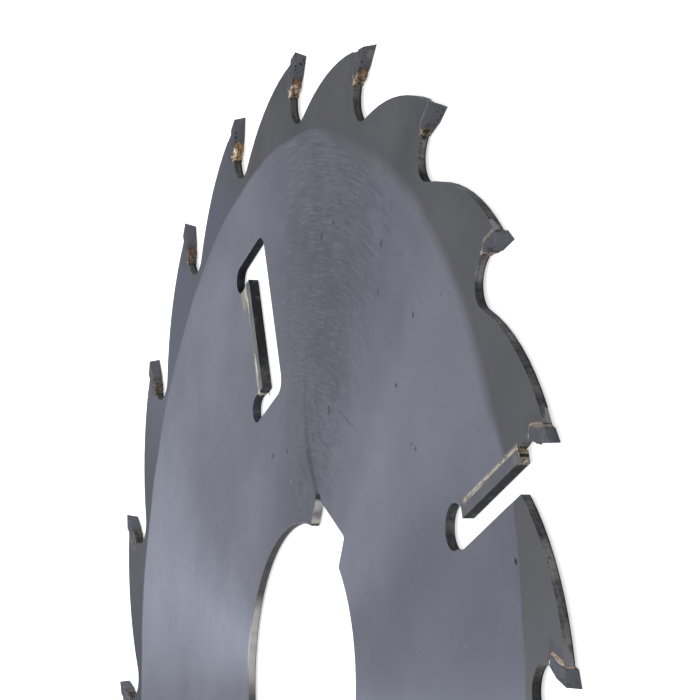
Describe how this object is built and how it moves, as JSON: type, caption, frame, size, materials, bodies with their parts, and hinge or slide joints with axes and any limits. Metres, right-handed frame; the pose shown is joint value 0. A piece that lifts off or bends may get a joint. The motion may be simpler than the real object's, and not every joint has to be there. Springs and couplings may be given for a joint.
{
  "type": "circular saw blade",
  "caption": "Circular ripping saw blade: thin steel plate with brazed carbide tips, chip rakers in slots, and a large bore with keyways.",
  "frame": {"origin": "centre of the bore at mid thickness of the plate", "axes": "+Z along the bore axis, out of the face from which the teeth point clockwise; +X through the first tooth tip"},
  "size_m": [0.3, 0.3, 0.003],
  "materials": {
    "plate_steel": "fine-ground hardened steel, satin, with grinding swirl, handling smudges and dark scale on the cut edges",
    "carbide": "sintered tungsten carbide, dark grey, ground matt with black flux specks",
    "braze": "silver braze alloy, dull tan to copper, solidified in a rounded fillet"
  },
  "bodies": {
    "root": {"saw_plate": "plate_steel", "tooth_tip_01": "carbide", "tip_braze_01": "braze", "tooth_tip_02": "carbide", "tip_braze_02": "braze", "tooth_tip_03": "carbide", "tip_braze_03": "braze", "tooth_tip_04": "carbide", "tip_braze_04": "braze", "tooth_tip_05": "carbide", "tip_braze_05": "braze", "tooth_tip_06": "carbide", "tip_braze_06": "braze", "tooth_tip_07": "carbide", "tip_braze_07": "braze", "tooth_tip_08": "carbide", "tip_braze_08": "braze", "tooth_tip_09": "carbide", "tip_braze_09": "braze", "tooth_tip_10": "carbide", "tip_braze_10": "braze", "tooth_tip_11": "carbide", "tip_braze_11": "braze", "tooth_tip_12": "carbide", "tip_braze_12": "braze", "tooth_tip_13": "carbide", "tip_braze_13": "braze", "tooth_tip_14": "carbide", "tip_braze_14": "braze", "tooth_tip_15": "carbide", "tip_braze_15": "braze", "tooth_tip_16": "carbide", "tip_braze_16": "braze", "tooth_tip_17": "carbide", "tip_braze_17": "braze", "tooth_tip_18": "carbide", "tip_braze_18": "braze", "tooth_tip_19": "carbide", "tip_braze_19": "braze", "tooth_tip_20": "carbide", "tip_braze_20": "braze", "raker_inner_1": "carbide", "raker_braze_inner_1": "braze", "raker_inner_2": "carbide", "raker_braze_inner_2": "braze", "raker_outer_1": "carbide", "raker_braze_outer_1": "braze", "raker_outer_2": "carbide", "raker_braze_outer_2": "braze"}
  },
  "joints": []
}
